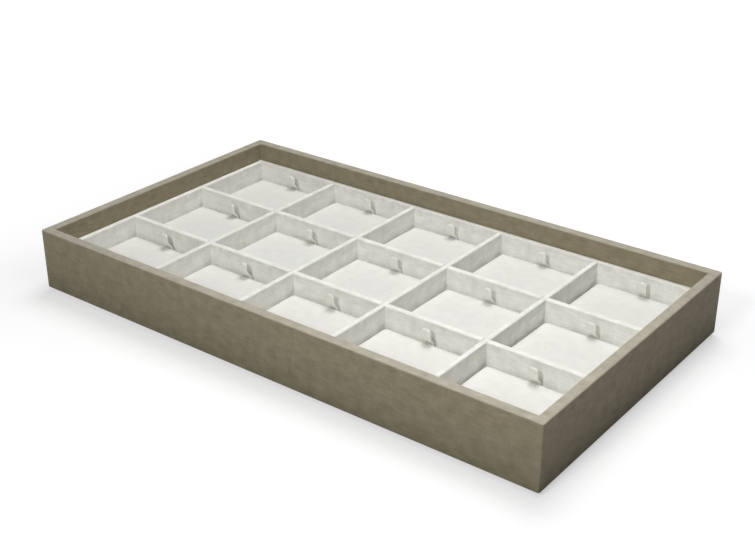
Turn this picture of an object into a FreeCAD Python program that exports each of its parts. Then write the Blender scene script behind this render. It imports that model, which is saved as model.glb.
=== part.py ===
import FreeCAD, Part
import os
import re
import Sketcher

# Driving sizes in millimetres, and two angles in degrees
SIZES = {
    # Frame: wooden rails under a cover strip
    "tray_long": "375",
    "tray_deep": "210",
    "frame_tall": "41",
    "wall": "6.5",
    "cover": "0.5",
    "rim_round": "0.8",
    "corner_lap": "2.75",
    # Headless pins in the corners
    "pin_wide": "1.2",
    "pin_long": "14",
    "pin_inset": "9",
    "pin_gap": "0.02",
    # Base, and the plinth that nests in the rim of the tray below
    "base_thick": "2.5",
    "base_seat": "3",
    "base_gap": "0.2",
    "plinth_drop": "2.5",
    "plinth_round": "2",
    "stack_gap": "0.75",
    "felt": "0.6",
    # Liners and dividers
    "grid_drop": "12.8",
    "liner": "3.5",
    "long_board": "4",
    "short_board": "3.5",
    "lap_gap": "0.15",
    "board_round": "0.7",
    # Battens and pads
    "batten_wide": "11",
    "batten_tall": "5.6",
    "pad_thick": "7.2",
    "pad_gap": "0.8",
    "pad_round": "4",
    "pad_corner": "4.5",
    "post_hole": "1.2",
    "post_spread": "32",
    # Hooks
    "hook_wide": "6.4",
    "hook_thick": "1.2",
    "hook_tall": "10.4",
    "hook_knee": "4.3",
    "hook_lean": "46",
    "tip_lean": "-4",
    "hook_root": "2",
    "hook_bend": "7.8",
    "hook_round": "2.4",
    "hook_gap": "0.15",
    "hook_edge": "0.4",
    "slot_deep": "2.2",
    "ear_wide": "3",
    "ear_tall": "1.5",
}

# Compartments
COLUMNS = 5
ROWS = ["front", "middle", "back"]

# Places worked out from the driving sizes, as expressions
RAIL = "(wall - 2 * cover)"
RAIL_LOW = "(plinth_drop + cover)"
RIM = "(plinth_drop + frame_tall)"
RAIL_TALL = "(frame_tall - 2 * cover)"
BASE_TOP = f"({RAIL_LOW} + base_thick)"
BATTEN_TOP = f"({BASE_TOP} + batten_tall)"
GRID_TOP = f"({RIM} - grid_drop)"
LAP_LEVEL = f"(({BATTEN_TOP} + {GRID_TOP}) / 2)"
INNER_LONG = "(tray_long - 2 * wall)"
INNER_DEEP = "(tray_deep - 2 * wall)"
GRID_LONG = f"({INNER_LONG} - 2 * liner)"
GRID_DEEP = f"({INNER_DEEP} - 2 * liner)"
CELL_LONG = f"(({GRID_LONG} - {COLUMNS - 1} * short_board) / {COLUMNS})"
CELL_DEEP = f"(({GRID_DEEP} - {len(ROWS) - 1} * long_board) / {len(ROWS)})"
SHOULDER = "((batten_wide - short_board) / 2)"
PAD_LONG = f"({CELL_LONG} - 2 * pad_gap)"
PAD_DEEP = f"({CELL_DEEP} - 2 * pad_gap)"

# Turns about the vertical that bring a piece of the front wall to each side
FRONT, RIGHT, BACK, LEFT = 0, 90, 180, 270

doc = FreeCAD.newDocument("jewelry_tray")
sheet = doc.addObject("Spreadsheet::Sheet", "Sizes")
for line, (name, number) in enumerate(SIZES.items(), start=1):
    sheet.set(f"A{line}", name)
    sheet.set(f"B{line}", number)
    sheet.setAlias(f"B{line}", name)
doc.recompute()

subparts = []


def bound(text):
    """An expression in which each size's name points at its cell."""
    return re.sub("[a-z_]+", lambda word: f"Sizes.{word[0]}" if word[0] in SIZES else word[0], text)


def value(text):
    """The number that an expression gives with the present sizes."""
    return float(sheet.evalExpression(bound(text)))


def place(item, x="0", y="0", z="0", turn=0):
    item.Placement = FreeCAD.Placement(FreeCAD.Vector(), FreeCAD.Rotation(FreeCAD.Vector(0, 0, 1), turn))
    for axis, text in (("x", x), ("y", y), ("z", z)):
        item.setExpression(f"Placement.Base.{axis}", bound(text))


def new_body(label, x="0", y="0", z="0", turn=0):
    body = doc.addObject("PartDesign::Body", label)
    body.Label = label
    place(body, x, y, z, turn)
    subparts.append(body)
    return body


def new_sketch(body, role, offset):
    """An empty sketch on one of the body's origin planes, moved along the plane's normal."""
    sketch = body.newObject("Sketcher::SketchObject", "Sketch")
    plane = next(item for item in body.Origin.OriginFeatures if item.Role == role)
    sketch.AttachmentSupport = (plane, [""])
    sketch.MapMode = "FlatFace"
    sketch.setExpression("AttachmentOffset.Base.z", bound(offset))
    return sketch


def dimension(sketch, kind, text, *target):
    index = sketch.addConstraint(Sketcher.Constraint(kind, *target, value(text)))
    sketch.setExpression(f"Constraints[{index}]", bound(text))


def pin_point(sketch, geometry, point, across, up):
    """Ties a point of the sketch to the sketch's origin by two expressions."""
    dimension(sketch, "DistanceX", across, -1, 1, geometry, point)
    dimension(sketch, "DistanceY", up, -1, 1, geometry, point)


def add_outline(sketch, corners):
    """Adds a closed outline of straight lines, each corner given as a pair of expressions."""
    points = [FreeCAD.Vector(value(across), value(up), 0) for across, up in corners]
    ends = points[1:] + points[:1]
    first = sketch.GeometryCount
    last = first + len(points) - 1
    sketch.addGeometry([Part.LineSegment(start, end) for start, end in zip(points, ends)], False)
    for line in range(first, last):
        sketch.addConstraint(Sketcher.Constraint("Coincident", line, 2, line + 1, 1))
    sketch.addConstraint(Sketcher.Constraint("Coincident", last, 2, first, 1))
    for line, (across, up) in enumerate(corners, start=first):
        pin_point(sketch, line, 1, across, up)


def add_circle(sketch, across, up, diameter):
    centre = FreeCAD.Vector(value(across), value(up), 0)
    circle = sketch.addGeometry(Part.Circle(centre, FreeCAD.Vector(0, 0, 1), value(diameter) / 2), False)
    pin_point(sketch, circle, 3, across, up)
    dimension(sketch, "Diameter", diameter, circle)


def rectangle(left, low, right, high):
    return [(left, low), (right, low), (right, high), (left, high)]


def centred(long, deep):
    return rectangle(f"-{long} / 2", f"-{deep} / 2", f"{long} / 2", f"{deep} / 2")


def pad(body, sketch, length):
    feature = body.newObject("PartDesign::Pad", "Pad")
    feature.Profile = sketch
    feature.setExpression("Length", bound(length))
    doc.recompute()
    return feature


def pocket(body, sketch, depth, along_normal=False):
    """Cuts against the sketch's normal, or along it, and stops where nothing was cut."""
    before = body.Tip.Shape.Volume
    feature = body.newObject("PartDesign::Pocket", "Pocket")
    feature.Profile = sketch
    feature.Reversed = along_normal
    feature.setExpression("Length", bound(depth))
    doc.recompute()
    if not feature.Shape.Volume < before:
        raise RuntimeError(f"{body.Label}: the pocket cuts nothing")


def round_edges(body, radius, wanted):
    """Fillets the edges of the body's last feature that a test on an edge's box picks out."""
    base = body.Tip
    names = [f"Edge{n}" for n, edge in enumerate(base.Shape.Edges, start=1) if wanted(edge.BoundBox)]
    feature = body.newObject("PartDesign::Fillet", "Round")
    feature.Base = (base, names)
    feature.setExpression("Radius", bound(radius))
    doc.recompute()


NEAR = 1e-4


def level(low, high, text):
    """True where a stretch lies at one place, given as an expression."""
    target = value(text)
    return abs(low - target) < NEAR and abs(high - target) < NEAR


def upright(box):
    return box.XLength < NEAR and box.YLength < NEAR


def column_centre(column):
    return f"({column - (COLUMNS - 1) / 2} * ({CELL_LONG} + short_board))"


def row_centre(row):
    return f"({row - (len(ROWS) - 1) / 2} * ({CELL_DEEP} + long_board))"


def short_place(number):
    return f"({number - COLUMNS / 2} * ({CELL_LONG} + short_board))"


def long_place(number):
    return f"({number - len(ROWS) / 2} * ({CELL_DEEP} + long_board))"


# Rails: wooden strips with a rebate for the base panel, the long ones rabbeted over the short ones
PIN_LEVELS = [f"{RAIL_LOW} + pin_inset", f"{RIM} - cover - pin_inset"]


def rail(label, turn, outer, length):
    """A strip along local X, its outer face at local Y = -outer, with the base panel's rebate below."""
    body = new_body(label, turn=turn)
    sketch = new_sketch(body, "YZ_Plane", f"-{length} / 2")
    seat = f"-{outer} + {RAIL} - base_seat"
    inner = f"-{outer} + {RAIL}"
    top = f"{RAIL_LOW} + {RAIL_TALL}"
    add_outline(sketch, [(f"-{outer}", RAIL_LOW), (seat, RAIL_LOW), (seat, BASE_TOP), (inner, BASE_TOP),
                         (inner, top), (f"-{outer}", top)])
    pad(body, sketch, length)
    return body


def long_rail(label, turn):
    outer = "(tray_deep / 2 - cover)"
    length = "(tray_long - 2 * cover)"
    body = rail(label, turn, outer, length)
    seats = new_sketch(body, "XY_Plane", RIM)
    for side in ("-", ""):
        end = f"{side}({length} / 2)"
        shoulder = f"{side}({length} / 2 - {RAIL})"
        inner = f"-{outer} + {RAIL}"
        add_outline(seats, [(end, f"{inner} - corner_lap"), (shoulder, f"{inner} - corner_lap"),
                            (shoulder, inner), (end, inner)])
    pocket(body, seats, "frame_tall")
    holes = new_sketch(body, "XZ_Plane", outer)
    for side in ("-", ""):
        for height in PIN_LEVELS:
            add_circle(holes, f"{side}({length} / 2 - {RAIL} / 2)", height, "pin_wide + 2 * pin_gap")
    pocket(body, holes, RAIL)


def short_rail(label, turn):
    outer = "(tray_long / 2 - cover)"
    length = f"(tray_deep - 2 * cover - 2 * ({RAIL} - corner_lap))"
    body = rail(label, turn, outer, length)
    depth = f"pin_long - ({RAIL} - corner_lap) + pin_gap"
    for side, along_normal in (("-", True), ("", False)):
        holes = new_sketch(body, "YZ_Plane", f"{side}{length} / 2")
        for height in PIN_LEVELS:
            add_circle(holes, f"-{outer} + {RAIL} / 2", height, "pin_wide + 2 * pin_gap")
        pocket(body, holes, depth, along_normal)


long_rail("front_rail", FRONT)
long_rail("back_rail", BACK)
short_rail("left_rail", LEFT)
short_rail("right_rail", RIGHT)


# Headless pins through the long rails into the ends of the short ones
def corner_pins():
    pins = []
    for side in ("-", ""):
        for end, turn in (("-", -90), ("", 90)):
            for height in PIN_LEVELS:
                pin = doc.addObject("Part::Cylinder", "Pin")
                pin.setExpression("Radius", bound("pin_wide / 2"))
                pin.setExpression("Height", bound("pin_long"))
                place(pin, f"{side}(tray_long / 2 - wall / 2)", f"{end}(tray_deep / 2 - cover)", height)
                pin.Placement.Rotation = FreeCAD.Rotation(FreeCAD.Vector(1, 0, 0), turn)
                pins.append(pin)
    group = doc.addObject("Part::Compound", "corner_pins")
    group.Label = "corner_pins"
    group.Links = pins
    subparts.append(group)


corner_pins()


# Cover strips: outer face, rim, inner face and a turned-under lip, mitred at the corners
def cover_strip(label, turn, reach, length):
    body = new_body(label, turn=turn)
    sketch = new_sketch(body, "YZ_Plane", f"-{length} / 2")
    outer, inner = f"-{reach}", f"-{reach} + wall"
    lip = f"{inner} - cover"
    add_outline(sketch, [
        (outer, "plinth_drop"), (lip, "plinth_drop"), (lip, RAIL_LOW), (f"{outer} + cover", RAIL_LOW),
        (f"{outer} + cover", f"{RIM} - cover"), (f"{inner} - cover", f"{RIM} - cover"),
        (f"{inner} - cover", BASE_TOP), (inner, BASE_TOP), (inner, RIM), (outer, RIM)])
    pad(body, sketch, length)
    round_edges(body, "rim_round", lambda box: box.XLength > NEAR and level(box.ZMin, box.ZMax, RIM))
    mitres = new_sketch(body, "XY_Plane", f"{RIM} + cover")
    for side in ("-", ""):
        add_outline(mitres, [(f"{side}({length} / 2 + wall)", f"{outer} - wall"),
                             (f"{side}({length} / 2 + wall)", f"{inner} + wall"),
                             (f"{side}({length} / 2 - 2 * wall)", f"{inner} + wall")])
    pocket(body, mitres, "frame_tall + 2 * cover")


for label, turn in (("front_cover", FRONT), ("back_cover", BACK)):
    cover_strip(label, turn, "tray_deep / 2", "tray_long")
for label, turn in (("left_cover", LEFT), ("right_cover", RIGHT)):
    cover_strip(label, turn, "tray_long / 2", "tray_deep")


# Base panel in the rails' rebate, plinth and felt below it
def board(label, long, deep, low, thick):
    body = new_body(label, z=low)
    sketch = new_sketch(body, "XY_Plane", "0")
    add_outline(sketch, centred(long, deep))
    pad(body, sketch, thick)
    return body


SEAT_REACH = f"({INNER_LONG} + 2 * cover + 2 * base_seat - 2 * base_gap)"
SEAT_DEPTH = f"({INNER_DEEP} + 2 * cover + 2 * base_seat - 2 * base_gap)"
PLINTH_LONG = f"({INNER_LONG} - 2 * stack_gap)"
PLINTH_DEEP = f"({INNER_DEEP} - 2 * stack_gap)"
board("base_panel", SEAT_REACH, SEAT_DEPTH, RAIL_LOW, "base_thick")
round_edges(board("stacking_plinth", PLINTH_LONG, PLINTH_DEEP, "felt", f"{RAIL_LOW} - felt"),
            "plinth_round", upright)
round_edges(board("plinth_felt", PLINTH_LONG, PLINTH_DEEP, "0", "felt"), "plinth_round", upright)


# Battens under the short dividers and along the two end liners
def batten(label, centre, wide):
    body = new_body(label, x=centre, z=BASE_TOP)
    sketch = new_sketch(body, "XY_Plane", "0")
    add_outline(sketch, centred(wide, GRID_DEEP))
    pad(body, sketch, "batten_tall")


END_BATTEN = f"({GRID_LONG} / 2 - {SHOULDER} / 2)"
batten("left_batten", f"-{END_BATTEN}", SHOULDER)
for number in range(1, COLUMNS):
    batten(f"batten_{number}", short_place(number), "batten_wide")
batten("right_batten", END_BATTEN, SHOULDER)


# Liners: covered boards against the inside of the walls, the long ones between the corners
def liner_board(label, turn, reach, length):
    body = new_body(label, turn=turn)
    sketch = new_sketch(body, "YZ_Plane", f"-{length} / 2")
    add_outline(sketch, rectangle(f"-{reach}", BASE_TOP, f"-{reach} + liner", GRID_TOP))
    pad(body, sketch, length)
    round_edges(body, "board_round", lambda box: box.XLength > NEAR and level(box.ZMin, box.ZMax, GRID_TOP))


for label, turn in (("front_liner", FRONT), ("back_liner", BACK)):
    liner_board(label, turn, f"{INNER_DEEP} / 2", INNER_LONG)
for label, turn in (("left_liner", LEFT), ("right_liner", RIGHT)):
    liner_board(label, turn, f"{INNER_LONG} / 2", GRID_DEEP)


# Dividers: covered boards, halved into each other where they cross
def cut(centre, width, mouth, end):
    """The corners of a slot from its mouth to its end, left to right, lap_gap wider all round."""
    left, right = f"{centre} - {width} / 2 - lap_gap", f"{centre} + {width} / 2 + lap_gap"
    return [(left, mouth), (left, end), (right, end), (right, mouth)]


def long_divider(label, centre):
    body = new_body(label, y=centre)
    over = f"{BATTEN_TOP} + lap_gap"
    left, right = f"-{GRID_LONG} / 2", f"{GRID_LONG} / 2"
    left_foot, right_foot = f"{left} + {SHOULDER} + lap_gap", f"{right} - {SHOULDER} - lap_gap"
    corners = [(left, over), (left_foot, over), (left_foot, BASE_TOP)]
    for number in range(1, COLUMNS):
        corners += cut(short_place(number), "batten_wide", BASE_TOP, over)
    corners += [(right_foot, BASE_TOP), (right_foot, over), (right, over), (right, GRID_TOP)]
    for number in range(COLUMNS - 1, 0, -1):
        corners += reversed(cut(short_place(number), "short_board", GRID_TOP, LAP_LEVEL))
    corners += [(left, GRID_TOP)]
    sketch = new_sketch(body, "XZ_Plane", "-long_board / 2")
    add_outline(sketch, corners)
    pad(body, sketch, "long_board")
    round_edges(body, "board_round", lambda box: box.XLength > NEAR and level(box.ZMin, box.ZMax, GRID_TOP))


def short_divider(label, centre):
    body = new_body(label, x=centre)
    front, back = f"-{GRID_DEEP} / 2", f"{GRID_DEEP} / 2"
    corners = [(front, BATTEN_TOP)]
    for number in range(1, len(ROWS)):
        corners += cut(long_place(number), "long_board", BATTEN_TOP, f"{LAP_LEVEL} + lap_gap")
    corners += [(back, BATTEN_TOP), (back, GRID_TOP), (front, GRID_TOP)]
    sketch = new_sketch(body, "YZ_Plane", "-short_board / 2")
    add_outline(sketch, corners)
    pad(body, sketch, "short_board")
    round_edges(body, "board_round", lambda box: box.YLength > NEAR and level(box.ZMin, box.ZMax, GRID_TOP))


for number in range(1, len(ROWS)):
    long_divider(f"long_divider_{number}", long_place(number))
for number in range(1, COLUMNS):
    short_divider(f"short_divider_{number}", short_place(number))


# Floor pads: covered boards with rolled edges, a hook slot in the back edge and two holes for earring posts
def floor_pad(label, x, y):
    body = new_body(label, x, y, BATTEN_TOP)
    outline = new_sketch(body, "XY_Plane", "0")
    add_outline(outline, centred(PAD_LONG, PAD_DEEP))
    pad(body, outline, "pad_thick")
    round_edges(body, "pad_corner", upright)
    round_edges(body, "pad_round", lambda box: level(box.ZMin, box.ZMax, "pad_thick"))
    slot = new_sketch(body, "XY_Plane", "pad_thick")
    side = "(hook_wide / 2 + hook_gap)"
    add_outline(slot, rectangle(f"-{side}", f"{PAD_DEEP} / 2 - slot_deep", side, f"{PAD_DEEP} / 2 + pad_gap"))
    pocket(body, slot, "pad_thick")
    holes = new_sketch(body, "XY_Plane", "pad_thick")
    for across in ("-post_spread / 2", "post_spread / 2"):
        add_circle(holes, across, "0", "post_hole")
    pocket(body, holes, "pad_thick")


# Hooks: a tongue that leans forward out of the pad's slot and turns up at a knee, with two ears under the pad
def hook(label, x, y):
    body = new_body(label, x, y, BATTEN_TOP)
    back = f"{PAD_DEEP} / 2"
    knee = "pad_thick + hook_knee"
    top = "pad_thick + hook_tall"
    knee_out = "hook_knee * tan(hook_lean)"
    tip_out = f"({knee_out} + (hook_tall - hook_knee) * tan(tip_lean))"
    rear = [(back, "-ear_tall"), (back, "pad_thick"), (f"{back} - {knee_out}", knee), (f"{back} - {tip_out}", top)]
    face = [(f"{across} - hook_thick", height) for across, height in reversed(rear)]
    profile = new_sketch(body, "YZ_Plane", "-hook_wide / 2")
    add_outline(profile, rear + face)
    pad(body, profile, "hook_wide")
    for radius, height in (("hook_root", "pad_thick"), ("hook_bend", knee)):
        round_edges(body, radius, lambda box, h=height: box.XLength > NEAR and level(box.ZMin, box.ZMax, h))
    round_edges(body, "hook_round", lambda box: box.XLength < NEAR and level(box.ZMin, box.ZMax, top))
    tip = value(f"{top} - hook_round") - NEAR
    round_edges(body, "hook_edge", lambda box: box.ZMax > tip and box.XLength > NEAR)
    ears = new_sketch(body, "XY_Plane", "-ear_tall")
    add_outline(ears, rectangle("-hook_wide / 2 - ear_wide", f"{back} - hook_thick",
                                "hook_wide / 2 + ear_wide", back))
    pad(body, ears, "ear_tall")


for row, row_name in enumerate(ROWS):
    for column in range(COLUMNS):
        spot = (column_centre(column), row_centre(row))
        floor_pad(f"pad_{row_name}_{column + 1}", *spot)
        hook(f"hook_{row_name}_{column + 1}", *spot)


# Check everything, then write one file for each sub-part
doc.recompute()
for item in doc.Objects:
    if "Invalid" in item.State or "Error" in item.State:
        raise RuntimeError(f"{item.Label}: {item.State}")
for item in subparts:
    if item.Shape.isNull() or not item.Shape.isValid() or not item.Shape.Solids:
        raise RuntimeError(f"{item.Label}: no valid solid")

os.makedirs("parts", exist_ok=True)
for item in subparts:
    item.Shape.exportStep(f"parts/{item.Label}.step")
    box = item.Shape.BoundBox
    print(f"{item.Label}: {len(item.Shape.Solids)} solid, {item.Shape.Volume:.1f} mm3,",
          f"{box.XLength:.2f} x {box.YLength:.2f} x {box.ZLength:.2f}, from z {box.ZMin:.2f}")
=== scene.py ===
import math
import random

import bmesh
import bpy
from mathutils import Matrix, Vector


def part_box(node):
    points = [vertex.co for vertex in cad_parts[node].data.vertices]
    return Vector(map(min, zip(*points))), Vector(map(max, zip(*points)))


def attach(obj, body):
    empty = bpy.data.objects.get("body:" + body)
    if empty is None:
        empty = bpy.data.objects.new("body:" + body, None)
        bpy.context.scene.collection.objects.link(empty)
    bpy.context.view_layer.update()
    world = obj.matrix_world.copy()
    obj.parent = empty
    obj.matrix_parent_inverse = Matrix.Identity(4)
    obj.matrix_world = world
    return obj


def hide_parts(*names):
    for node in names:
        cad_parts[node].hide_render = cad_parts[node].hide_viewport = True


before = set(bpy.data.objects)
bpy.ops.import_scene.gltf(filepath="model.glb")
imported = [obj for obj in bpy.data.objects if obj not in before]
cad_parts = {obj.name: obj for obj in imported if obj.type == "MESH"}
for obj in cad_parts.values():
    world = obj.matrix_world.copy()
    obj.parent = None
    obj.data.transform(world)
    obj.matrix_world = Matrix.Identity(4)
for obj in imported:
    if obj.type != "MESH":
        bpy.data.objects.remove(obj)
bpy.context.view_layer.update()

# Lengths are metres, and MM turns millimetres into them
MM = 0.001
ROWS = ("front", "middle", "back")
COLUMNS = (1, 2, 3, 4, 5)
LONG_DIVIDERS = (1, 2)
SHORT_DIVIDERS = (1, 2, 3, 4)
SIDES = ("front", "right", "back", "left")

# Levels and thicknesses read from the frame
cover_low, cover_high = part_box("front_cover")
FOOT, RIM = cover_low.z, cover_high.z
WALL = cover_high.y - cover_low.y
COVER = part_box("front_rail")[0].y - cover_low.y
BASE_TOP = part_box("base_panel")[1].z
BATTEN_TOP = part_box("batten_1")[1].z
GRID_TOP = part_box("front_liner")[1].z
HALF_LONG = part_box("right_cover")[1].x
HALF_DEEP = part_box("back_cover")[1].y


# Node helpers
LYING_FROM = 0.7


class Tree:
    """A new material's nodes, joined by calls that take sockets or plain values."""

    def __init__(self, name):
        self.material = bpy.data.materials.new(name)
        self.material.use_nodes = True
        self.nodes = self.material.node_tree.nodes
        self.links = self.material.node_tree.links
        self.shader = self.nodes["Principled BSDF"]

    def put(self, socket, value):
        if isinstance(value, bpy.types.NodeSocket):
            self.links.new(value, socket)
        else:
            socket.default_value = value

    def math(self, operation, first, second=0.0, third=0.0):
        node = self.nodes.new("ShaderNodeMath")
        node.operation = operation
        for socket, value in zip(node.inputs, (first, second, third)):
            self.put(socket, value)
        return node.outputs[0]

    def total(self, start, *parts):
        """start plus each part's weight times its socket's distance from its middle."""
        for weight, socket, middle in parts:
            start = self.math("MULTIPLY_ADD", self.math("SUBTRACT", socket, middle), weight, start)
        return start

    def split(self, vector):
        node = self.nodes.new("ShaderNodeSeparateXYZ")
        self.links.new(vector, node.inputs[0])
        return list(node.outputs)

    def blend(self, factor, first, second):
        node = self.nodes.new("ShaderNodeMix")
        self.put(node.inputs[0], factor)
        self.put(node.inputs[2], first)
        self.put(node.inputs[3], second)
        return node.outputs[0]

    def colour(self, factor, dark, light):
        node = self.nodes.new("ShaderNodeMix")
        node.data_type = "RGBA"
        self.put(node.inputs[0], factor)
        for socket, shade in ((node.inputs[6], dark), (node.inputs[7], light)):
            self.put(socket, shade if isinstance(shade, bpy.types.NodeSocket) else (*shade, 1.0))
        return node.outputs[2]

    def noise(self, first, second, third=0.0, detail=2.0):
        """Noise with blotches about one unit across."""
        vector = self.nodes.new("ShaderNodeCombineXYZ")
        for socket, value in zip(vector.inputs, (first, second, third)):
            self.put(socket, value)
        node = self.nodes.new("ShaderNodeTexNoise")
        self.links.new(vector.outputs[0], node.inputs["Vector"])
        self.put(node.inputs["Scale"], 1.0)
        self.put(node.inputs["Detail"], detail)
        return node.outputs["Fac"]

    def solid(self):
        """The surface's place in millimetres."""
        coordinates = self.nodes.new("ShaderNodeTexCoord")
        return [self.math("DIVIDE", part, MM) for part in self.split(coordinates.outputs["Object"])]

    def plane(self):
        """Millimetres along and up the plane that the surface faces most, and how flat it lies."""
        x, y, z = self.solid()
        coordinates = self.nodes.new("ShaderNodeTexCoord")
        facing = [self.math("ABSOLUTE", part) for part in self.split(coordinates.outputs["Normal"])]
        lying = self.math("GREATER_THAN", facing[2], LYING_FROM)
        standing = self.math("SUBTRACT", 1.0, lying)
        sideways = self.math("MULTIPLY", self.math("GREATER_THAN", facing[0], facing[1]), standing)
        return self.blend(sideways, x, y), self.blend(lying, z, y), facing[2]

    def finish(self, colour, roughness, height, relief):
        """Joins the finish to the shader, with height from 0 to 1 standing relief proud."""
        bump = self.nodes.new("ShaderNodeBump")
        self.put(bump.inputs["Distance"], relief)
        self.put(bump.inputs["Height"], height)
        self.links.new(bump.outputs["Normal"], self.shader.inputs["Normal"])
        self.put(self.shader.inputs["Base Color"], colour)
        self.put(self.shader.inputs["Roughness"], roughness)
        return self.material


# Linen covering, with sizes in millimetres
SHEEN_SPREAD = 0.4
# These two colours are a painted sheen: a paler tone painted onto faces that lie flat, as if lit brighter
PAINTED_SHEEN_DARK = (0.44, 0.416, 0.361)
PAINTED_SHEEN_LIGHT = (0.68, 0.644, 0.559)
SLUB_STEP = 0.6
SLUB_LAYER = 5.0
MOTTLE_SIZE = 7.0
MOTTLE_LAYER = 9.0
NOISE_MIDDLE = 0.5
WEAVE_MIDDLE = 0.6
LINEN_ROUGHNESS = 0.7


def linen(name, dark, light, thread, streak, relief, specular, sheen, painted_sheen=0.0):
    """Woven covering: threads over and under by turns, slubs along them and a soft mottle.

    Where it lies flat it is painted paler, a painted sheen for the light that upward faces catch."""
    tree = Tree(name)
    along, up, flat = tree.plane()
    wefts = tree.math("DIVIDE", up, thread)
    warps = tree.math("DIVIDE", along, thread)
    weft, warp = tree.math("FLOOR", wefts), tree.math("FLOOR", warps)
    on_top = tree.math("FLOORED_MODULO", tree.math("ADD", weft, warp), 2.0)
    ridges = [tree.math("SINE", tree.math("MULTIPLY", tree.math("FRACT", count), math.pi))
              for count in (warps, wefts)]
    weave = tree.blend(on_top, *ridges)
    slub_along = tree.noise(tree.math("DIVIDE", along, streak), tree.math("MULTIPLY", weft, SLUB_STEP))
    slub_up = tree.noise(tree.math("MULTIPLY", warp, SLUB_STEP), tree.math("DIVIDE", up, streak), SLUB_LAYER)
    mottle = tree.noise(*(tree.math("DIVIDE", part, MOTTLE_SIZE) for part in (along, up)), MOTTLE_LAYER)
    tone = tree.total(0.5, (1.0, slub_along, NOISE_MIDDLE), (0.4, slub_up, NOISE_MIDDLE),
                      (0.2, weave, WEAVE_MIDDLE), (1.2, mottle, NOISE_MIDDLE))
    height = tree.total(0.5, (0.5, weave, WEAVE_MIDDLE), (0.6, slub_along, NOISE_MIDDLE),
                        (0.5, slub_up, NOISE_MIDDLE))
    roughness = tree.total(LINEN_ROUGHNESS, (0.15, slub_along, NOISE_MIDDLE), (-0.1, weave, WEAVE_MIDDLE))
    tree.put(tree.shader.inputs["Specular IOR Level"], specular)
    tree.put(tree.shader.inputs["Sheen Weight"], sheen)
    tree.put(tree.shader.inputs["Sheen Roughness"], SHEEN_SPREAD)
    colour = tree.colour(tone, dark, light)
    # Painted sheen: faces that lie flat are painted paler, as if they caught more light
    if painted_sheen:
        painted_colour = tree.colour(tone, PAINTED_SHEEN_DARK, PAINTED_SHEEN_LIGHT)
        colour = tree.colour(tree.math("MULTIPLY", flat, painted_sheen), colour, painted_colour)
    return tree.finish(colour, roughness, height, relief)


# Softwood, with grain and pore sizes in millimetres
GRAIN_LONG = 60.0
GRAIN_WIDE = 12.0
RING_WAVER = 14.0
RING_TURN = 6.3
PORE_LONG = 9.0
PORE_WIDE = 0.35
WOOD_ROUGHNESS = 0.6
WOOD_RELIEF = 0.06 * MM


def timber(name, dark, light, ring):
    """Sawn softwood: long grain in wavering rings, with fine pores."""
    tree = Tree(name)
    along, up, _ = tree.plane()
    warp = tree.noise(tree.math("DIVIDE", along, GRAIN_LONG), tree.math("DIVIDE", up, GRAIN_WIDE))
    turns = tree.math("DIVIDE", up, ring / RING_TURN)
    rings = tree.math("SINE", tree.math("MULTIPLY_ADD", warp, RING_WAVER, turns))
    pores = tree.noise(tree.math("DIVIDE", along, PORE_LONG), tree.math("DIVIDE", up, PORE_WIDE), detail=3.0)
    tone = tree.total(0.5, (0.3, rings, 0.0), (0.7, pores, NOISE_MIDDLE))
    roughness = tree.total(WOOD_ROUGHNESS, (0.2, pores, NOISE_MIDDLE))
    return tree.finish(tree.colour(tone, dark, light), roughness, pores, WOOD_RELIEF)


# Pressed fibre, whose mottle is so many flecks wide
FLECKS_WIDE = 20.0
FIBRE_SPECULAR = 0.2
FIBRE_ROUGHNESS = 0.85


def fibre(name, dark, light, size, relief, sheen):
    """Pressed fibres: fine flecks in a soft mottle."""
    tree = Tree(name)
    x, y, z = (tree.math("DIVIDE", part, size) for part in tree.solid())
    flecks = tree.noise(x, y, z, detail=4.0)
    wide = tree.noise(*(tree.math("DIVIDE", part, FLECKS_WIDE) for part in (x, y, z)))
    tone = tree.total(0.5, (1.6, flecks, NOISE_MIDDLE), (0.6, wide, NOISE_MIDDLE))
    tree.put(tree.shader.inputs["Specular IOR Level"], FIBRE_SPECULAR)
    tree.put(tree.shader.inputs["Sheen Weight"], sheen)
    roughness = tree.total(FIBRE_ROUGHNESS, (0.2, flecks, NOISE_MIDDLE))
    return tree.finish(tree.colour(tone, dark, light), roughness, flecks, relief)


# Steel wire, with the size of its lines in millimetres
LINE_SIZES = (0.05, 8.0, 0.05)
STEEL_DARK = (0.42, 0.42, 0.43)
STEEL_LIGHT = (0.62, 0.62, 0.63)
STEEL_ROUGHNESS = 0.32
STEEL_RELIEF = 0.01 * MM


def steel(name):
    """Drawn wire: bright metal with fine lines along it."""
    tree = Tree(name)
    lines = tree.noise(*(tree.math("DIVIDE", part, size) for part, size in zip(tree.solid(), LINE_SIZES)))
    tree.put(tree.shader.inputs["Metallic"], 1.0)
    tone = tree.colour(lines, STEEL_DARK, STEEL_LIGHT)
    return tree.finish(tone, tree.total(STEEL_ROUGHNESS, (0.2, lines, NOISE_MIDDLE)), lines, STEEL_RELIEF)


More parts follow.
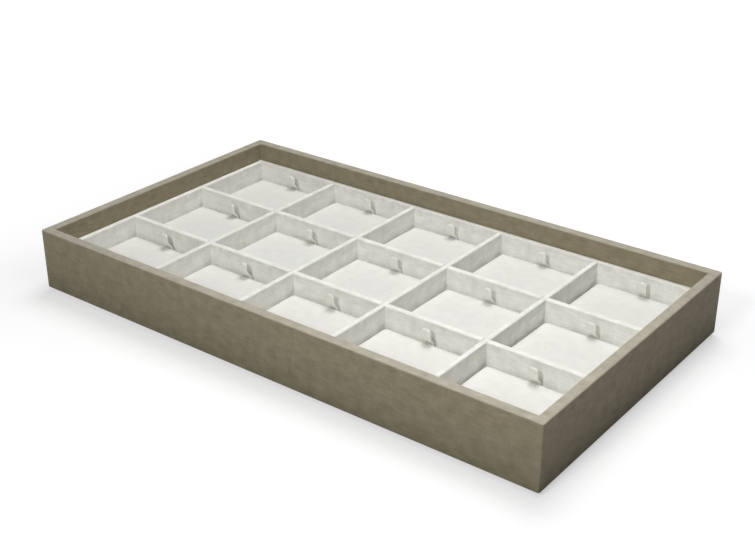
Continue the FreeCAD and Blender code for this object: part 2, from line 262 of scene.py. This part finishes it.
# Materials of the pieces, and of the CAD nodes that show as they are
# The taupe's last value paints a paler sheen onto its flat faces, such as the rim
TAUPE = linen("taupe_linen", (0.232, 0.201, 0.132), (0.358, 0.314, 0.217),
              thread=0.75, streak=9.0, relief=0.08 * MM, specular=0.05, sheen=0.25, painted_sheen=0.50)
IVORY = linen("ivory_linen", (0.715, 0.709, 0.660), (0.955, 0.949, 0.901),
              thread=0.60, streak=11.0, relief=0.05 * MM, specular=0.2, sheen=0.0)
PALE = linen("pale_linen", (0.700, 0.695, 0.658), (0.785, 0.778, 0.740),
             thread=0.50, streak=7.0, relief=0.035 * MM, specular=0.2, sheen=0.0)
TAB = linen("tab_linen", (0.760, 0.752, 0.690), (0.880, 0.872, 0.815),
            thread=0.45, streak=5.0, relief=0.04 * MM, specular=0.2, sheen=0.0)
RAIL_WOOD = timber("rail_softwood", (0.42, 0.27, 0.14), (0.68, 0.50, 0.30), 3.2)
BATTEN_WOOD = timber("batten_softwood", (0.47, 0.33, 0.19), (0.72, 0.56, 0.36), 2.4)
BOARD = fibre("pressed_board", (0.16, 0.095, 0.05), (0.34, 0.22, 0.13), 0.9, 0.04 * MM, 0.0)
GREYBOARD = fibre("grey_board", (0.30, 0.29, 0.26), (0.48, 0.46, 0.42), 0.7, 0.04 * MM, 0.0)
FELT = fibre("taupe_felt", (0.20, 0.18, 0.145), (0.36, 0.33, 0.27), 0.45, 0.20 * MM, 0.4)
STEEL = steel("pin_steel")

CAD_FINISH = {"corner_pins": STEEL, "base_panel": BOARD, "stacking_plinth": GREYBOARD}
CAD_FINISH.update({f"{side}_rail": RAIL_WOOD for side in SIDES})
CAD_FINISH.update({f"batten_{number}": BATTEN_WOOD for number in SHORT_DIVIDERS})
CAD_FINISH.update({"left_batten": BATTEN_WOOD, "right_batten": BATTEN_WOOD})
for node, finish in CAD_FINISH.items():
    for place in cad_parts[node].material_slots:
        place.material = finish


# Mesh helpers, and a rounded outline's corners as the signs of x and y and the angle where each starts
SHARP = math.radians(40)
CORNERS = ((1, 1, 0), (-1, 1, 90), (-1, -1, 180), (1, -1, 270))


def add_piece(name, mesh, materials, body, slot, *nodes):
    """Makes a shaded piece from a bmesh, which rides on a body and stands for CAD nodes."""
    bmesh.ops.recalc_face_normals(mesh, faces=mesh.faces)
    data = bpy.data.meshes.new(name)
    mesh.to_mesh(data)
    mesh.free()
    data.shade_smooth()
    data.set_sharp_from_angle(angle=SHARP)
    for material in materials:
        data.materials.append(material)
    piece = bpy.data.objects.new(name, data)
    bpy.context.scene.collection.objects.link(piece)
    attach(piece, body)
    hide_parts(*nodes)
    return piece


def keep_faces_flat(piece):
    """Shades the flat faces flat right up to their rounded edges."""
    piece.modifiers.new("Even shading", "WEIGHTED_NORMAL").keep_sharp = True


def arc(centre, radius, start, end, steps):
    """Points on an arc about a centre, from one angle to another in degrees."""
    angles = [math.radians(start + (end - start) * step / steps) for step in range(steps + 1)]
    return [(centre[0] + radius * math.cos(a), centre[1] + radius * math.sin(a)) for a in angles]


def loft(mesh, rings, closed):
    """Joins rings of points with quads, round each ring, and from the last to the first if closed."""
    made = [[mesh.verts.new(point) for point in ring] for ring in rings]
    follow = made[1:] + made[:1] if closed else made[1:]
    for ring, after in zip(made, follow):
        for n in range(len(ring)):
            m = (n + 1) % len(ring)
            mesh.faces.new((ring[n], ring[m], after[m], after[n]))
    return made


def capped_loft(rings):
    """A new mesh through rings of points, with a face over each end."""
    mesh = bmesh.new()
    made = loft(mesh, rings, closed=False)
    mesh.faces.new(made[0])
    mesh.faces.new(made[-1])
    return mesh


# Covering of the frame: one strip folded over the rim, creased at the corners, butted on the front
# MITRE and SEAM_GAPS pair a distance from the corner or seam with the crease there, in CREASE depths
RIM_ROUND = 0.9 * MM
FOOT_ROUND = 0.5 * MM
CORNER_ROUND = 1.0 * MM
INNER_ROUND = 0.25 * MM
CREASE = 0.15 * MM
MITRE = ((0.0, 0.7), (0.3 * MM, 0.25), (0.9 * MM, 0.0))
SEAM_PLACE = 23 * MM
SEAM_GAPS = ((-0.9 * MM, 0.0), (-0.3 * MM, 1.2), (-0.1 * MM, 2.2),
             (0.1 * MM, 2.2), (0.3 * MM, 1.2), (0.9 * MM, 0.0))
CORNER_CREASE = 1.0
ROUND_STEPS = 5


def wrap_section():
    """The strip's section as (inset from the outer face, height), once round."""
    inner, under = WALL - COVER, FOOT + COVER
    points = [(inner, FOOT)]
    points += arc((FOOT_ROUND, FOOT + FOOT_ROUND), FOOT_ROUND, 270, 180, ROUND_STEPS)
    points += arc((RIM_ROUND, RIM - RIM_ROUND), RIM_ROUND, 180, 90, ROUND_STEPS)
    points += arc((WALL - RIM_ROUND, RIM - RIM_ROUND), RIM_ROUND, 90, 0, ROUND_STEPS)
    points += [(WALL, BASE_TOP), (inner, BASE_TOP), (inner, RIM - COVER), (COVER, RIM - COVER)]
    return points + [(COVER, under), (inner, under)]


def wrap_ring(section, side, spot, crease):
    """The section set at one station of a side, pressed in by the crease where it shows."""
    reach, depth = (HALF_LONG, HALF_DEEP) if side % 2 == 0 else (HALF_DEEP, HALF_LONG)
    ring = []
    for inset, height in section:
        if crease and height > RIM - RIM_ROUND / 2:
            height -= CREASE * crease
        elif crease and inset < COVER / 2:
            inset += CREASE * crease
        turn = max(CORNER_ROUND - inset, INNER_ROUND)
        x, y = spot(reach - inset - turn, turn)
        y -= depth - inset - turn
        for _ in range(side):
            x, y = -y, x
        ring.append((x, y, height))
    return ring


def side_stations(side):
    """The stations along a side and round its end corner, each with its place and its crease."""
    stations = [(lambda end, turn, g=gap: (g - end, -turn), crease) for gap, crease in MITRE]
    if SIDES[side] == "front":
        stations += [(lambda end, turn, g=gap: (SEAM_PLACE + g, -turn), crease) for gap, crease in SEAM_GAPS]
    stations += [(lambda end, turn, g=gap: (end - g, -turn), crease) for gap, crease in reversed(MITRE)]
    for step in range(1, ROUND_STEPS):
        angle = math.pi / 2 * step / ROUND_STEPS
        stations.append((lambda end, turn, a=angle: (end + turn * math.sin(a), -turn * math.cos(a)),
                         CORNER_CREASE))
    return stations


def frame_wrap():
    section = wrap_section()
    rings = [wrap_ring(section, side, spot, crease)
             for side in range(len(SIDES)) for spot, crease in side_stations(side)]
    mesh = bmesh.new()
    loft(mesh, rings, closed=True)
    covers = [f"{side}_cover" for side in SIDES]
    keep_faces_flat(add_piece("frame_wrap", mesh, [TAUPE], "tray", "taupe_leatherette", *covers))


frame_wrap()


# Liners and dividers: boards with the covering drawn over their top edge
TOP_ROUND = 0.9 * MM
EDGE_ROUND = 0.1 * MM
LAP_GAP = 0.03 * MM
LAP_LEVEL = (BATTEN_TOP + GRID_TOP) / 2
TOP_STEPS = 4
EDGE_STEPS = 2
SAME_PLACE = 1e-6


def covered_board(name, outline, near, far, axis):
    """A board with an outline of (along, height), from near to far across, rounded at all its edges."""
    def point(along, across, height):
        return (along, across, height) if axis == "x" else (across, along, height)

    mesh = bmesh.new()
    faces = [mesh.faces.new([mesh.verts.new(point(along, across, height)) for along, height in outline])
             for across in (near, far)]
    loops = [list(face.verts) for face in faces]
    for n in range(len(outline)):
        m = (n + 1) % len(outline)
        mesh.faces.new((loops[0][n], loops[0][m], loops[1][m], loops[1][n]))
    bmesh.ops.recalc_face_normals(mesh, faces=mesh.faces)

    def is_top(edge):
        return all(abs(vert.co.z - GRID_TOP) < SAME_PLACE for vert in edge.verts)

    def runs_along(edge):
        across = 1 if axis == "x" else 0
        start, end = (vert.co[across] for vert in edge.verts)
        return abs(start - end) < SAME_PLACE

    top = [edge for edge in mesh.edges if is_top(edge) and runs_along(edge)]
    bmesh.ops.bevel(mesh, geom=top, offset=TOP_ROUND, segments=TOP_STEPS, profile=0.5, affect="EDGES")
    sharp = [edge for edge in mesh.edges if len(edge.link_faces) == 2 and edge.calc_face_angle() > SHARP]
    bmesh.ops.bevel(mesh, geom=sharp, offset=EDGE_ROUND, segments=EDGE_STEPS, profile=0.5, affect="EDGES",
                    clamp_overlap=True)
    keep_faces_flat(add_piece(f"{name}_board", mesh, [IVORY], "tray", "ivory_board", name))


def notch(node, axis, mouth, end):
    """The corners of a slot round another piece, from its mouth to its end and back."""
    low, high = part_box(node)
    number = "xyz".index(axis)
    left, right = low[number] - LAP_GAP, high[number] + LAP_GAP
    return [(left, mouth), (left, end), (right, end), (right, mouth)]


def liner(side):
    low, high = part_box(f"{side}_liner")
    axis, across = ("x", "y") if side in ("front", "back") else ("y", "x")
    start, end = getattr(low, axis), getattr(high, axis)
    outline = [(start, BASE_TOP), (end, BASE_TOP), (end, GRID_TOP), (start, GRID_TOP)]
    covered_board(f"{side}_liner", outline, getattr(low, across), getattr(high, across), axis)


def long_divider(number):
    low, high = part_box(f"long_divider_{number}")
    over = BATTEN_TOP + LAP_GAP
    left_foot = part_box("left_batten")[1].x + LAP_GAP
    right_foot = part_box("right_batten")[0].x - LAP_GAP
    outline = [(low.x, over), (left_foot, over), (left_foot, BASE_TOP)]
    for crossing in SHORT_DIVIDERS:
        outline += notch(f"batten_{crossing}", "x", BASE_TOP, over)
    outline += [(right_foot, BASE_TOP), (right_foot, over), (high.x, over), (high.x, GRID_TOP)]
    for crossing in reversed(SHORT_DIVIDERS):
        outline += reversed(notch(f"short_divider_{crossing}", "x", GRID_TOP, LAP_LEVEL))
    covered_board(f"long_divider_{number}", outline + [(low.x, GRID_TOP)], low.y, high.y, "x")


def short_divider(number):
    low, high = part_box(f"short_divider_{number}")
    outline = [(low.y, BATTEN_TOP)]
    for crossing in LONG_DIVIDERS:
        outline += notch(f"long_divider_{crossing}", "y", BATTEN_TOP, LAP_LEVEL + LAP_GAP)
    outline += [(high.y, BATTEN_TOP), (high.y, GRID_TOP), (low.y, GRID_TOP)]
    covered_board(f"short_divider_{number}", outline, low.x, high.x, "y")


for side in SIDES:
    liner(side)
for number in LONG_DIVIDERS:
    long_divider(number)
for number in SHORT_DIVIDERS:
    short_divider(number)


# Floor pads: soft covered boards with rolled edges, a hook slot, two post holes and turned-in hems
PAD_ROLL = 4 * MM
UNDER_ROLL = 0.5 * MM
SLOT_ROLL = 0.7 * MM
PAD_CORNER = 4.5 * MM
PAD_CROWN = 0.3 * MM
CROWN_POWER = 3
PAD_WAVER = 0.12 * MM
WAVER_ALONG = 9 * MM
WAVER_ACROSS = 11 * MM
HEM_WIDE = 9 * MM
HEM_STEP = 0.15 * MM
HEM_THICK = 0.35 * MM
SLOT_DEEP = 2.2 * MM
SLOT_HALF = 3.35 * MM
POST_SPREAD = 32 * MM
POST_HOLE = 0.5 * MM
POST_DIMPLE = 0.15 * MM
POST_AROUND = 3.2 * MM
PLAIN_STEP = 6 * MM
ROLL_STEPS = 6


def roll_offsets(radius):
    return [radius * (1 - math.cos(math.pi / 2 * step / ROLL_STEPS)) for step in range(ROLL_STEPS + 1)]


def roll_drop(distance, radius):
    """How far a rolled edge lies below the flat at a distance in from it."""
    short = max(radius - distance, 0.0)
    return radius - math.sqrt(max(radius * radius - short * short, 0.0))


def plan_lines(marks):
    """The marks in order, with plain lines between those that are far apart."""
    lines = []
    for mark in sorted(set(round(mark, 8) for mark in marks)):
        if lines and mark - lines[-1] > PLAIN_STEP:
            parts = math.ceil((mark - lines[-1]) / PLAIN_STEP)
            start = lines[-1]
            lines += [start + (mark - start) * part / parts for part in range(1, parts)]
        lines.append(mark)
    return lines


class PadPlan:
    """One pad seen from above, about its own centre."""

    def __init__(self, half_long, half_deep):
        self.half = (half_long, half_deep)
        self.slot_end = half_deep - SLOT_DEEP
        inward = roll_offsets(PAD_ROLL) + [HEM_WIDE, HEM_WIDE + HEM_STEP]
        # Lines across a post hole and in the dimple round it
        holes = [part * POST_HOLE / 6 for part in (-3, -1, 1, 3)]
        holes += [sign * POST_AROUND / part for sign in (-1, 1) for part in (2, 3)]
        beside = roll_offsets(SLOT_ROLL)
        across = [sign * (half_long - gap) for gap in inward for sign in (-1, 1)]
        across += [sign * (SLOT_HALF + gap) for gap in beside for sign in (-1, 1)]
        across += [sign * POST_SPREAD / 2 + gap for gap in holes for sign in (-1, 1)]
        along = [sign * (half_deep - gap) for gap in inward for sign in (-1, 1)]
        along += [self.slot_end - gap for gap in beside] + holes
        self.across, self.along = plan_lines(across), plan_lines(along)

    def middle(self, i, j):
        """The middle of the cell that follows line i across and line j along."""
        return (self.across[i] + self.across[i + 1]) / 2, (self.along[j] + self.along[j + 1]) / 2

    def edge_distance(self, x, y):
        return min(self.half[0] - abs(x), self.half[1] - abs(y))

    def slot_distance(self, x, y):
        return max(abs(x) - SLOT_HALF, self.slot_end - y, 0.0)

    def post_offset(self, x, y):
        """The place seen from the nearer post hole."""
        return x - math.copysign(POST_SPREAD / 2, x), y

    def is_open(self, x, y):
        in_slot = abs(x) < SLOT_HALF and y > self.slot_end
        return in_slot or max(map(abs, self.post_offset(x, y))) < POST_HOLE / 2

    def rounded(self, x, y):
        """Plan corners bent to arcs, and the lines round a post hole to circles."""
        a, b = ((abs(value) - half + PAD_CORNER) / PAD_CORNER for value, half in zip((x, y), self.half))
        if a > 0 and b > 0:
            x = math.copysign(self.half[0] - PAD_CORNER + PAD_CORNER * a * math.sqrt(1 - b * b / 2), x)
            y = math.copysign(self.half[1] - PAD_CORNER + PAD_CORNER * b * math.sqrt(1 - a * a / 2), y)
        from_x, from_y = self.post_offset(x, y)
        square = max(abs(from_x), abs(from_y))
        if 0 < square < POST_AROUND / 2:
            fade = min((POST_AROUND / 2 - square) / (POST_AROUND / 2 - POST_HOLE / 2), 1.0)
            pull = fade * (square / math.hypot(from_x, from_y) - 1)
            x, y = x + pull * from_x, y + pull * from_y
        return x, y

    def top_drop(self, x, y):
        bulge = (1 - abs(x / self.half[0]) ** CROWN_POWER) * (1 - abs(y / self.half[1]) ** CROWN_POWER)
        drop = max(roll_drop(self.edge_distance(x, y), PAD_ROLL),
                   roll_drop(self.slot_distance(x, y), SLOT_ROLL))
        away = math.hypot(*self.post_offset(x, y)) / (POST_AROUND / 2)
        return drop + PAD_CROWN * (1 - bulge) + POST_DIMPLE * max(1 - away, 0.0) ** 2

    def under_rise(self, x, y):
        """The hem lies flat on the battens, and the bare board inside it stands a little higher."""
        inside = min(self.edge_distance(x, y), self.slot_distance(x, y) + HEM_STEP)
        bare = HEM_THICK if self.edge_distance(x, y) > HEM_WIDE + HEM_STEP / 2 else 0.0
        return bare + roll_drop(inside, UNDER_ROLL)


def floor_pad(row, column):
    node = f"pad_{row}_{column}"
    low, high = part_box(node)
    centre = (low + high) / 2
    plan = PadPlan((high.x - low.x) / 2, (high.y - low.y) / 2)
    draw = random.Random(node)
    phase_x, phase_y = (draw.uniform(0, 2 * math.pi) for _ in range(2))
    mesh = bmesh.new()

    def waver(x, y):
        """A slight unevenness of the drawn covering, strongest at the edges."""
        shift_x = math.sin(y / WAVER_ALONG + phase_x) * x / plan.half[0]
        shift_y = math.sin(x / WAVER_ACROSS + phase_y) * y / plan.half[1]
        return x + PAD_WAVER * shift_x, y + PAD_WAVER * shift_y

    def corner(x, y, upper):
        flat_x, flat_y = waver(*plan.rounded(x, y))
        height = high.z - plan.top_drop(x, y) if upper else low.z + plan.under_rise(x, y)
        return mesh.verts.new((centre.x + flat_x, centre.y + flat_y, height))

    used = [(i, j) for i in range(len(plan.across) - 1) for j in range(len(plan.along) - 1)
            if not plan.is_open(*plan.middle(i, j))]
    layers = []
    for upper in (True, False):
        verts = {}
        for i, j in used:
            quad = []
            for spot in ((i, j), (i + 1, j), (i + 1, j + 1), (i, j + 1)):
                if spot not in verts:
                    verts[spot] = corner(plan.across[spot[0]], plan.along[spot[1]], upper)
                quad.append(verts[spot])
            face = mesh.faces.new(quad if upper else quad[::-1])
            inward = plan.edge_distance(*plan.middle(i, j))
            face.material_index = int(not upper and inward > HEM_WIDE + HEM_STEP)
        layers.append(verts)
    names = {vert: spot for spot, vert in layers[0].items()}
    rim = [edge for edge in mesh.edges if edge.is_boundary and edge.verts[0] in names]
    for edge in rim:
        start, end = (names[vert] for vert in edge.verts)
        mesh.faces.new((layers[0][start], layers[0][end], layers[1][end], layers[1][start]))
    piece = add_piece(f"covered_{node}", mesh, [PALE, GREYBOARD], f"insert_{row}_{column}", "pale_pad", node)


# Hooks: covered tongues that lean out of the pad's slot and turn up at a knee, with ears under the pad
HOOK_HALF = 3.2 * MM
HALF_THICK = 0.6 * MM
HOOK_EDGE = 0.45 * MM
HOOK_CROWN = 2.4 * MM
HOOK_KNEE = 4.3 * MM
HOOK_LEAN = math.radians(46)
TIP_LEAN = math.radians(-4)
ROOT_REACH = 0.85 * MM
BEND_REACH = 3.6 * MM
ROUND_SHARE = 0.95
CROWN_EASE = 0.9
SECTION_STEPS = 3
BEND_STEPS = 6
CROWN_STEPS = 8


def tongue_ring(width, thick, edge):
    """A rounded section across the tongue, as (sideways, out of its face), from its half sizes."""
    edge = min(edge, ROUND_SHARE * thick, ROUND_SHARE * width)
    points = []
    for sign_x, sign_y, start in CORNERS:
        centre = (sign_x * (width - edge), sign_y * (thick - edge))
        points += arc(centre, edge, start, start + 90, SECTION_STEPS)
    return points


def along_lean(point, lean, distance):
    return point[0] - distance * math.sin(lean), point[1] + distance * math.cos(lean)


def bend(corner, reach, lean_in, lean_out):
    """Stations round a bend of the tongue, from reach below its corner to reach above.

    Each is a place (y, z) and the tongue's lean there."""
    points = (along_lean(corner, lean_in, -reach), corner, along_lean(corner, lean_out, reach))
    stations = []
    for step in range(BEND_STEPS + 1):
        part = step / BEND_STEPS
        shares = ((1 - part) ** 2, 2 * part * (1 - part), part ** 2)
        place = tuple(sum(share * value for share, value in zip(shares, values)) for values in zip(*points))
        stations.append((place, lean_in + (lean_out - lean_in) * part))
    return stations


def hook(row, column):
    node = f"hook_{row}_{column}"
    low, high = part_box(node)
    pad_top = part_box(f"pad_{row}_{column}")[1].z
    middle, ear_half = (low.x + high.x) / 2, (high.x - low.x) / 2
    root = high.y - HALF_THICK
    foot, knee = (root, pad_top), (root - HOOK_KNEE * math.tan(HOOK_LEAN), pad_top + HOOK_KNEE)
    top = high.z - HALF_THICK * abs(math.sin(TIP_LEAN))
    tip = along_lean(knee, TIP_LEAN, (top - knee[1]) / math.cos(TIP_LEAN))
    stations = [((root, height), 0.0, wide, HALF_THICK)
                for height, wide in ((low.z, ear_half), (BATTEN_TOP, ear_half), (BATTEN_TOP, HOOK_HALF))]
    for spot, lean in bend(foot, ROOT_REACH, 0.0, HOOK_LEAN) + bend(knee, BEND_REACH, HOOK_LEAN, TIP_LEAN):
        stations.append((spot, lean, HOOK_HALF, HALF_THICK))
    for step in range(CROWN_STEPS + 1):
        angle = math.pi / 2 * step / CROWN_STEPS
        below = HOOK_CROWN * (1 - math.sin(angle))
        wide = HOOK_HALF - HOOK_CROWN * (1 - math.cos(angle))
        into_edge = CROWN_EASE * max(HOOK_EDGE - below, 0.0)
        slim = HALF_THICK - HOOK_EDGE + math.sqrt(HOOK_EDGE ** 2 - into_edge ** 2)
        stations.append((along_lean(tip, TIP_LEAN, -below), TIP_LEAN, wide, slim))
    rings = []
    for (y, z), lean, wide, thick in stations:
        rings.append([(middle + side, y + out * math.cos(lean), z + out * math.sin(lean))
                      for side, out in tongue_ring(wide, thick, HOOK_EDGE)])
    add_piece(f"covered_{node}", capped_loft(rings), [TAB], f"insert_{row}_{column}", "ivory_hook", node)


for row in ROWS:
    for column in COLUMNS:
        floor_pad(row, column)
        hook(row, column)


# Felt under the plinth
FELT_CORNER = 2 * MM
FELT_EDGE = 0.2 * MM


def felt_sheet():
    low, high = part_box("plinth_felt")
    levels = ((FELT_EDGE, low.z), (0.0, low.z + FELT_EDGE), (0.0, high.z - FELT_EDGE), (FELT_EDGE, high.z))
    rings = []
    for inset, height in levels:
        outline = []
        for sign_x, sign_y, start in CORNERS:
            centre = (sign_x * (high.x - FELT_CORNER), sign_y * (high.y - FELT_CORNER))
            outline += arc(centre, FELT_CORNER - inset, start, start + 90, ROUND_STEPS)
        rings.append([(x, y, height) for x, y in outline])
    add_piece("felt_sheet", capped_loft(rings), [FELT], "tray", "felt", "plinth_felt")


felt_sheet()


# Floor, which keeps the tray's shadow and shows white where the light is open
# NEAR values hold at the tray's foot, and FAR values from the reach outwards; the lower glow and the darker
# bounce colour near the foot are painted shade
FLOOR_HALF = 8.0
FLOOR_TONE = 0.45
NEAR_BOUNCE = 0.05
FAR_BOUNCE = 1.0
BOUNCE_REACH = 0.06
NEAR_GLOW = 0.55
FAR_GLOW = 0.97
GLOW_REACH = 0.35


def seen_directly(nodes, links):
    """1 for a ray from the camera or its reflections and refractions, and 0 for other light."""
    path = nodes.new("ShaderNodeLightPath")
    most = path.outputs["Is Camera Ray"]
    for name in ("Is Glossy Ray", "Is Transmission Ray"):
        node = nodes.new("ShaderNodeMath")
        node.operation = "MAXIMUM"
        links.new(most, node.inputs[0])
        links.new(path.outputs[name], node.inputs[1])
        most = node.outputs[0]
    return most


def studio_floor():
    tree = Tree("studio_floor")
    tree.nodes.remove(tree.shader)
    seen = seen_directly(tree.nodes, tree.links)
    x, y, _ = tree.solid()
    sides = [tree.math("MAXIMUM", tree.math("SUBTRACT", tree.math("ABSOLUTE", value), half / MM), 0.0)
             for value, half in ((x, HALF_LONG), (y, HALF_DEEP))]
    away = tree.math("SQRT", tree.math("ADD", *(tree.math("MULTIPLY", side, side) for side in sides)))
    # Painted shadow round the tray: the glow seen on the floor dims towards the tray's foot
    share, open_share = (tree.math("MINIMUM", tree.math("DIVIDE", away, reach / MM), 1.0)
                         for reach in (GLOW_REACH, BOUNCE_REACH))
    plain = tree.nodes.new("ShaderNodeBsdfDiffuse")
    # Painted shade: the floor's bounce colour darkens towards the foot, which darkens the tray's lower sides
    bounce = tree.blend(open_share, NEAR_BOUNCE, FAR_BOUNCE)
    tree.put(plain.inputs["Color"], tree.blend(seen, bounce, FLOOR_TONE))
    glow = tree.nodes.new("ShaderNodeEmission")
    tree.put(glow.inputs["Strength"], tree.math("MULTIPLY", seen, tree.blend(share, NEAR_GLOW, FAR_GLOW)))
    both = tree.nodes.new("ShaderNodeAddShader")
    tree.links.new(plain.outputs[0], both.inputs[0])
    tree.links.new(glow.outputs[0], both.inputs[1])
    tree.links.new(both.outputs[0], tree.nodes["Material Output"].inputs["Surface"])
    data = bpy.data.meshes.new("studio_floor")
    corners = [(x * FLOOR_HALF, y * FLOOR_HALF, 0.0) for x, y in ((-1, -1), (1, -1), (1, 1), (-1, 1))]
    data.from_pydata(corners, [], [(0, 1, 2, 3)])
    data.materials.append(tree.material)
    floor = bpy.data.objects.new("studio_floor", data)
    bpy.context.scene.collection.objects.link(floor)


studio_floor()


# World: white where it is seen, and no light from it, so that only the lamps light the tray
WORLD_LIGHT = 0.0
WORLD_SEEN = 1.0


def studio_world():
    world = bpy.data.worlds.new("studio_world")
    bpy.context.scene.world = world
    world.use_nodes = True
    nodes, links = world.node_tree.nodes, world.node_tree.links
    strength = nodes.new("ShaderNodeMix")
    strength.inputs[2].default_value = WORLD_LIGHT
    strength.inputs[3].default_value = WORLD_SEEN
    links.new(seen_directly(nodes, links), strength.inputs[0])
    sky = nodes["Background"]
    sky.inputs["Color"].default_value = (1.0, 1.0, 1.0, 1.0)
    links.new(strength.outputs[0], sky.inputs["Strength"])


studio_world()


# Lamps, each a soft panel turned to the middle of the tray
def panel_lamp(name, place, wide, tall, power):
    data = bpy.data.lights.new(name, "AREA")
    data.shape = "RECTANGLE"
    data.size, data.size_y = wide, tall
    data.energy = power
    lamp = bpy.data.objects.new(name, data)
    lamp.location = place
    lamp.rotation_euler = (-Vector(place)).to_track_quat("-Z", "Y").to_euler()
    bpy.context.scene.collection.objects.link(lamp)


panel_lamp("back_panel", (-0.1, 0.3, 1.0), 0.5, 0.5, 6.1)
panel_lamp("right_panel", (0.17, -0.08, 0.34), 0.2, 0.2, 0.42)
panel_lamp("far_right_panel", (1.2, 0.2, 0.7), 0.7, 0.7, 0.80)
panel_lamp("front_panel", (0.10, -1.37, 1.0), 0.25, 0.25, 8.9)
panel_lamp("near_panel", (0.14, -0.34, 0.29), 0.08, 0.08, 0.12)


# Camera at the photograph's viewpoint
CAMERA_PLACE = Vector((0.4363, -0.56224, 0.38096))
CAMERA_TARGET = Vector((0.01874, -0.01682, 0.0435))
CAMERA_LENS = 60.189
SENSOR_WIDE = 36.0
NEAR_CLIP = 0.01
FAR_CLIP = 100.0


def photo_camera():
    data = bpy.data.cameras.new("photo_camera")
    data.sensor_width = SENSOR_WIDE
    data.lens = CAMERA_LENS
    data.clip_start = NEAR_CLIP
    data.clip_end = FAR_CLIP
    camera = bpy.data.objects.new("photo_camera", data)
    camera.location = CAMERA_PLACE
    camera.rotation_euler = (CAMERA_TARGET - CAMERA_PLACE).to_track_quat("-Z", "Y").to_euler()
    bpy.context.scene.collection.objects.link(camera)
    bpy.context.scene.camera = camera


photo_camera()
bpy.context.scene.view_settings.view_transform = "Standard"
